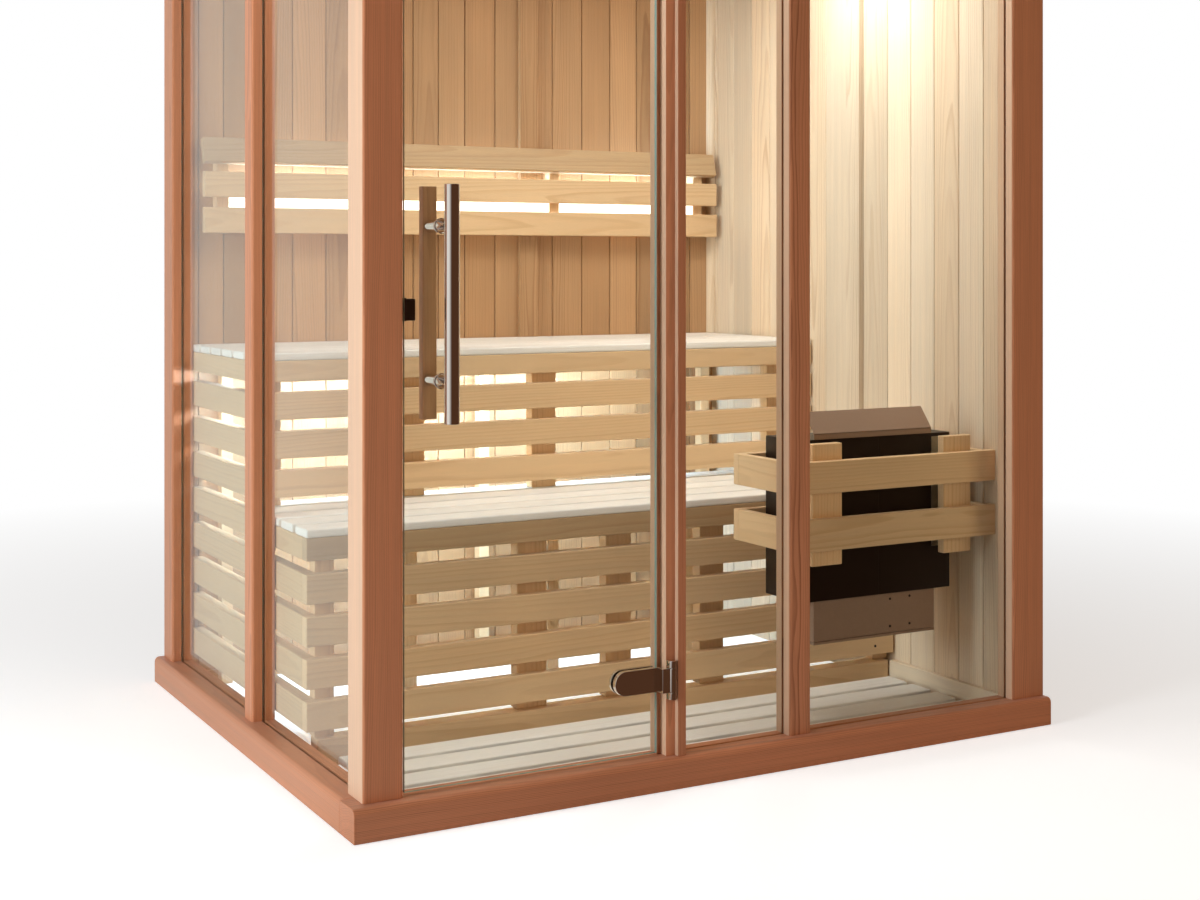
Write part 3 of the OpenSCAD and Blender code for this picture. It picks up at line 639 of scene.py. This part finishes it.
def roofBoards():
    low, high = corners("roof_panel")
    stack = Stack(41)
    e, z0, z1 = roof["edgeBoard"], low[2], high[2]
    for a, b in (((low[0], low[1]), (high[0], low[1] + e)),
                 ((low[0], high[1] - e), (high[0], high[1]))):
        stack.board((a[0], a[1], z0), (b[0], b[1], z1), "X", 2.0, 2)
    for a, b in ((low[0], low[0] + e), (high[0] - e, high[0])):
        stack.board((a, low[1] + e, z0), (b, high[1] - e, z1), "Y", 2.0, 2)
    x0, x1, y0, y1 = low[0] + e, high[0] - e, low[1] + e, high[1] - e
    count = round((x1 - x0) / roof["pitch"])
    step = (x1 - x0) / count
    for i in range(count):
        a, b = x0 + i * step, x0 + (i + 1) * step
        stack.board((a, y0, z0), (b, y1, z0 + roof["lining"]), "Y", roof["groove"], 1,
                    choose=lambda middle, way: abs(way.y) > 0.9 and middle.z / mm < z0 + 1)
        stack.board((a, y0, z1 - roof["deck"]), (b, y1, z1 - 1), "Y", roof["groove"], 1,
                    choose=lambda middle, way: abs(way.y) > 0.9 and middle.z / mm > z1 - 2)
    stack.board((x0, y0, z0 + roof["lining"]), (x1, y1, z1 - roof["deck"]), "Y", 0.5, 1)
    return stack.build("roof_boards", [wallWood], "wall_wood", ("roof_panel",))


roofBoards()
print("walls and roof clad")


def paneSkin(thin):
    return lambda f: 0 if abs(f.normal[thin]) > 0.95 else 1


for seed, (name, node, thin) in enumerate([
        ("front_middle_pane", "front_middle_glass", 1),
        ("front_right_pane", "front_right_glass", 1),
        ("left_front_pane", "left_front_glass", 0), ("left_rear_pane", "left_rear_glass", 0),
        ("door_pane", "door_glass", 1)]):
    dressed(name, node, "Z", [clearGlass, cutGlass], "clear_glass", 0.7, 1, 50 + seed,
            "door" if node == "door_glass" else "root", skinOf=paneSkin(thin))
print("panes set")


slats = {  # node: piece, easing, finish
    # the bench tops take the paler top wood: painted light
    "upper_bench_top": ("upper_bench_boards", 4.5, litTopWood),
    "lower_bench_top": ("lower_bench_boards", 4.5, litTopWood),
    "upper_bench_skirt": ("upper_skirt_slats", 2.5, benchWood),
    "lower_bench_skirt": ("lower_skirt_slats", 2.5, benchWood),
    "bench_side_skirt": ("side_skirt_slats", 2.5, benchWood),
}
# darker tones as painted shade: the top fascia board of the lower bench, and the side skirt slats,
# which the lamp at the left lights through the glass
slatTones = {"shaded": (-4.4, 0.9, 0.6), "side": (-1.8, 0.3, 0.5)}
slatScrew = {"place": (1544, 102), "radius": 3.2}
for seed, (node, (name, edge, finish)) in enumerate(slats.items()):
    stack = Stack(60 + seed)
    for low, high in solids(node):
        side = node == "bench_side_skirt"
        shaded = node == "lower_bench_skirt" and high[2] > corners(node)[1][2] - 1
        tone = slatTones["shaded"] if shaded else slatTones["side"] if side else None
        stack.board(low, high, "Y" if side else "X", edge, 3, tone=tone)
    if node == "lower_bench_skirt":
        screwHeads(stack, [slatScrew["place"]], slatScrew["radius"], corners(node)[0][1], 1)
    stack.build(name, [finish, blackCoat], "bench_wood", (node,))

frames = {  # left face and width of each leg, in millimetres; rails lie on the rear legs' left
    "deep": 33, "rail": 45,
    "upper_bench_frame": {"front": [(57, 45), (1558, 45), (409, 57), (758, 69), (1475, 60)],
                          "rear": [(91, 30), (817, 30), (1540, 30)]},
    "lower_bench_frame": {"front": [(57, 45), (1558, 45), (541, 77), (773, 69), (1033, 69)],
                          "rear": [(430, 34), (824, 34), (1240, 34)]},
}


def benchFrame(name, node, feet, seed):
    low, high = corners(node)
    deep, rail, legs = frames["deep"], frames["rail"], frames[node]
    y0, y1, top = low[1], high[1], high[2]
    stack = Stack(seed)
    for x, wide in legs["front"]:
        stack.board((x, y0, feet), (x + wide, y0 + deep, top), "Z", 2, 2)
    for x, wide in legs["rear"]:
        stack.board((x, y1 - deep, 0), (x + wide, y1, top), "Z", 2, 2)
        stack.board((x - deep, y0, top - rail), (x, y1, top), "Y", 2, 2)
    for x in (low[0], high[0] - deep):  # the end rails start behind the end legs
        stack.board((x, y0 + deep, top - rail), (x + deep, y1, top), "Y", 2, 2)
    return stack.build(name, [benchWood], "bench_wood", (node,))


benchFrame("upper_bench_legs", "upper_bench_frame", corners("lower_bench_top")[1][2], 65)
benchFrame("lower_bench_legs", "lower_bench_frame", corners("right_wall_skirting")[1][2], 66)

rest = {"thick": 23, "slat": 66, "pitch": 91.7, "lean": 18, "postWide": 31, "postIn": 54,
        "lightHigh": 30, "lightDeep": 8, "topSlatShade": (-4, 0.3, 0.7)}


def backrestSlats():
    r = rest
    low, high = corners("backrest")
    x0, x1, front, back, foot = low[0], high[0], low[1], high[1], low[2]
    stack, light = Stack(70), Stack(71)
    for i in range(2):
        z = foot + i * r["pitch"]
        stack.board((x0, front, z), (x1, front + r["thick"], z + r["slat"]), "X", 2.5, 3)
    z = foot + 2 * r["pitch"]
    hinge = spot(0, front, z)
    turn = (Matrix.Translation(hinge) @ Matrix.Rotation(-math.radians(r["lean"]), 4, "X")
            @ Matrix.Translation(-hinge))
    # the leaning top slat gets a darker tone: painted shade that tones down the ceiling lamp's
    # light on it
    stack.board((x0, front, z), (x1, front + r["thick"], z + r["slat"]), "X", 2.5, 3, turn=turn,
                tone=r["topSlatShade"])
    reach = r["slat"] / 2
    lean = reach * math.tan(math.radians(r["lean"]))
    y0 = front + r["thick"]
    outline = [(y0, foot), (back, foot), (back, z + reach), (y0 + lean, z + reach), (y0, z)]
    step = (x1 - x0 - 2 * r["postIn"]) / 3
    posts = [x0 + r["postIn"] + i * step for i in range(4)]
    for x in posts:
        shape = bmesh.new()
        base = [shape.verts.new(spot(x - r["postWide"] / 2, y, h)) for y, h in outline]
        cap = shape.faces.new(base)
        made = bmesh.ops.extrude_face_region(shape, geom=[cap])
        for v in (v for v in made["geom"] if isinstance(v, bmesh.types.BMVert)):
            v.co.x += r["postWide"] * mm
        bmesh.ops.recalc_face_normals(shape, faces=shape.faces)
        bmesh.ops.bevel(shape, geom=shape.edges[:], offset=1.5 * mm, segments=2, profile=0.5,
                        affect="EDGES", clamp_overlap=True)
        stack.take(shape, "Z")
    half = r["postWide"] / 2  # a light profile fills the stretches between the uprights
    centre = foot + (r["slat"] + r["pitch"]) / 2
    for a, b in zip(posts, posts[1:]):
        light.board((a + half, y0 + 1, centre - r["lightHigh"] / 2),
                    (b - half, y0 + 1 + r["lightDeep"], centre + r["lightHigh"] / 2), "X", 2, 2)
    light.build("backrest_light", [whiteLight], "clear_glass")
    return stack.build("backrest_slats", [benchWood], "bench_wood", ("backrest",))


backrestSlats()
print("benches and backrest built")

duck = {"wide": 71, "gap": 20.5, "thick": 16, "cross": 40, "crosses": 4}


def duckSlats():
    d = duck
    low, high = corners("duckboard")
    under = high[2] - d["thick"]
    stack = Stack(80)
    y = high[1]
    while y - d["wide"] > low[1]:
        stack.board((low[0], y - d["wide"], under), (high[0], y, high[2]), "X", 3.5, 3)
        y -= d["wide"] + d["gap"]
    stack.board((low[0], low[1], under), (high[0], y, high[2]), "X", 3.5, 3)
    step = (high[0] - low[0]) / d["crosses"]
    for i in range(d["crosses"]):
        x = low[0] + (i + 0.5) * step - d["cross"] / 2
        stack.board((x, low[1], 0), (x + d["cross"], high[1], under), "Y", 1.5, 2)
    # the duckboard takes the paler top wood too: painted light
    return stack.build("duckboard_slats", [litTopWood], "bench_wood", ("duckboard",))


duckSlats()

guard = {"thick": 21, "rail": 72, "pitch": 129, "out": 37, "post": 83, "postLeft": 66,
         "postRight": 58, "endGap": 15}


def guardRails():
    g = guard
    low, high = corners("heater_guard")
    x0, x1, y0, y1, t = low[0], high[0], low[1], high[1], g["thick"]
    stack = Stack(90)
    for i in range(2):
        z = low[2] + g["out"] + i * g["pitch"]
        top = z + g["rail"]
        for a, b, along in (((x0, y0), (x1, y0 + t), "X"), ((x0, y1 - t), (x1, y1), "X"),
                            ((x0, y0 + t), (x0 + t, y1 - t), "Y"),
                            ((x1 - g["endGap"] - t, y0 + t), (x1 - g["endGap"], y1 - t), "Y")):
            stack.board((*a, z), (*b, top), along, 2, 3)
    for x in (x0 + g["postLeft"], x1 - g["postRight"] - g["post"]):
        stack.board((x, y0 + t, low[2]), (x + g["post"], y0 + 2 * t, high[2]), "Z", 2, 3)
    return stack.build("heater_guard_rails", [benchWood], "bench_wood", ("heater_guard",))


guardRails()

heater = {
    "seam": 1320,
    "boxScrews": [(1359, 226), (1359, 290), (1417, 227), (1417, 292)],
    "lip": 12, "slope": 48, "back": 40, "sheet": 2, "flange": 7,
    "lipScrews": (15, 94, 177, 249, 322),
}


def heaterCase():
    h = heater
    low, high = corners("heater_body")
    stack = Stack(95)
    for a, b in ((low[0], h["seam"]), (h["seam"], high[0])):
        stack.board((a, low[1], low[2]), (b, high[1], high[2]), "Z", 1.6, 2)
    return stack.build("heater_case", [blackCoat], "black_metal", ("heater_body",))


def heaterSlope():  # upright lip and a sheet that leans back
    h = heater
    low, high = corners("heater_deflector")
    x0, x1, y, z, t = low[0], high[0], low[1], low[2], h["sheet"]
    stack = Stack(97)
    stack.board((x0, y, z), (x1, y + t, z + h["lip"] + t), "X", 0.4, 1)
    long = math.hypot(h["slope"], h["back"])
    out = Vector((0, -h["slope"], h["back"])) * (t / long)
    foot = [(x0, y, z + h["lip"]), (x1, y, z + h["lip"])]
    top = [(x1, y + h["back"], z + h["lip"] + h["slope"]),
           (x0, y + h["back"], z + h["lip"] + h["slope"])]
    shape = bmesh.new()
    under = [shape.verts.new(spot(*p)) for p in foot + top]
    over = [shape.verts.new(spot(p[0], p[1] + out.y, p[2] + out.z)) for p in foot + top]
    shape.faces.new(under[::-1])
    shape.faces.new(over)
    for i in range(4):
        shape.faces.new((under[i], under[(i + 1) % 4], over[(i + 1) % 4], over[i]))
    bmesh.ops.recalc_face_normals(shape, faces=shape.faces)
    for v in shape.verts:  # stay inside the solid's box
        v.co.y = max(v.co.y, y * mm)
    stack.take(shape, "X")
    screwHeads(stack, [(x0 + a, z + 7) for a in h["lipScrews"]], 3, y + 1.4, 1)
    return stack.build("heater_slope", [bronzeCoat, blackCoat], "bronze_metal",
                       ("heater_deflector",))


def heaterBox():
    low, high = corners("heater_box")
    stack = Stack(96)
    foot = low[2] + heater["flange"]
    stack.board((low[0], low[1] + 1, foot), high, "X", 0.8, 2)
    stack.board(low, (high[0], high[1], foot - 1), "X", 0.5, 1)
    screwHeads(stack, heater["boxScrews"], 3, low[1] + 1, 1)
    return stack.build("heater_junction_box", [bronzeCoat, blackCoat], "bronze_metal",
                       ("heater_box",))


bracket = {"left": 1475, "right": 1503, "thick": 1.8, "foot": 10, "head": 5,
           "screwUp": 111, "screwDown": 21, "screw": 4}


def guardBracket():  # zinc strip on the heater's front, behind the guard's right upright
    b = bracket
    low, high = corners("heater_guard")
    front, middle = corners("heater_body")[0][1], (b["left"] + b["right"]) / 2
    stack = Stack(99)
    stack.board((b["left"], front - b["thick"], low[2] + b["foot"]),
                (b["right"], front - 0.1, high[2] - b["head"]), "Z", 0.5, 2)
    screwHeads(stack, [(middle, high[2] - b["screwDown"]), (middle, low[2] + b["screwUp"])],
               b["screw"], front - b["thick"])
    return stack.build("guard_bracket", [zinc], "polished_steel")


heaterCase()
heaterSlope()
heaterBox()
guardBracket()
dressed("heater_arms", "heater_wall_arms", "X", [bronzeCoat], "bronze_metal", 1.5, 2, 98)
print("heater and guard built")

dressed("hinge_clamps", "door_hinge_clamps", "X", [polishedSteel], "polished_steel", 1.2, 3, 101,
        "door")
dressed("hinge_brackets", "door_hinge_brackets", "Z", [polishedSteel], "polished_steel", 0.8, 2,
        102)
dressed("handle_steel", "door_handle_outer", "Z", [polishedSteel], "polished_steel", 1.0, 2, 103,
        "door")
dressed("catch_case", "door_catch", "Z", [catchCoat], "black_metal", 1.2, 2, 104)


roller = {"end": 95, "front": 2, "foot": 1, "head": 2, "gap": 0.2}


def catchRoller():  # inner part of the catch, reaching behind the door's edge
    r = roller
    low, high = corners("door_catch")
    stack = Stack(107)
    stack.board((high[0] + r["gap"], low[1] + r["front"], low[2] + r["foot"]),
                (r["end"], high[1], high[2] - r["head"]), "Z", 1.5, 2)
    return stack.build("catch_roller", [catchCoat], "black_metal")


catchRoller()

grip = {"thick": 20, "pitch": 299, "spacer": 12.5}


def innerHandle():
    g = grip
    low, high = corners("door_handle_inner")
    middle, centre = (low[0] + high[0]) / 2, (low[2] + high[2]) / 2
    face = high[1] - g["thick"]
    stack = Stack(105)
    stack.board((low[0], face, low[2]), high, "Z", 2, 3, tone=(0, 0, 0.5))
    for z in (centre - g["pitch"] / 2, centre + g["pitch"] / 2):
        stack.dowel((middle, low[1], z), (middle, face, z), g["spacer"], 1.0, skin=1)
    return stack.build("handle_wood", [darkCedar, polishedSteel], "bench_wood",
                       ("door_handle_inner",), "door")


innerHandle()


collar = {"radius": 15.5, "thick": 3}


def rosettes():  # collars where the outer handle's studs meet the glass
    low, high = corners("door_handle_outer")
    middle, centre = (low[0] + high[0]) / 2, (low[2] + high[2]) / 2
    face = corners("door_glass")[0][1]
    stack = Stack(106)
    for z in (centre - grip["pitch"] / 2, centre + grip["pitch"] / 2):
        stack.dowel((middle, face - collar["thick"], z), (middle, face - 0.1, z),
                    collar["radius"], 0.8)
    return stack.build("handle_rosettes", [polishedSteel], "polished_steel", (), "door")


rosettes()
print("door fittings built")

print("all pieces ready")
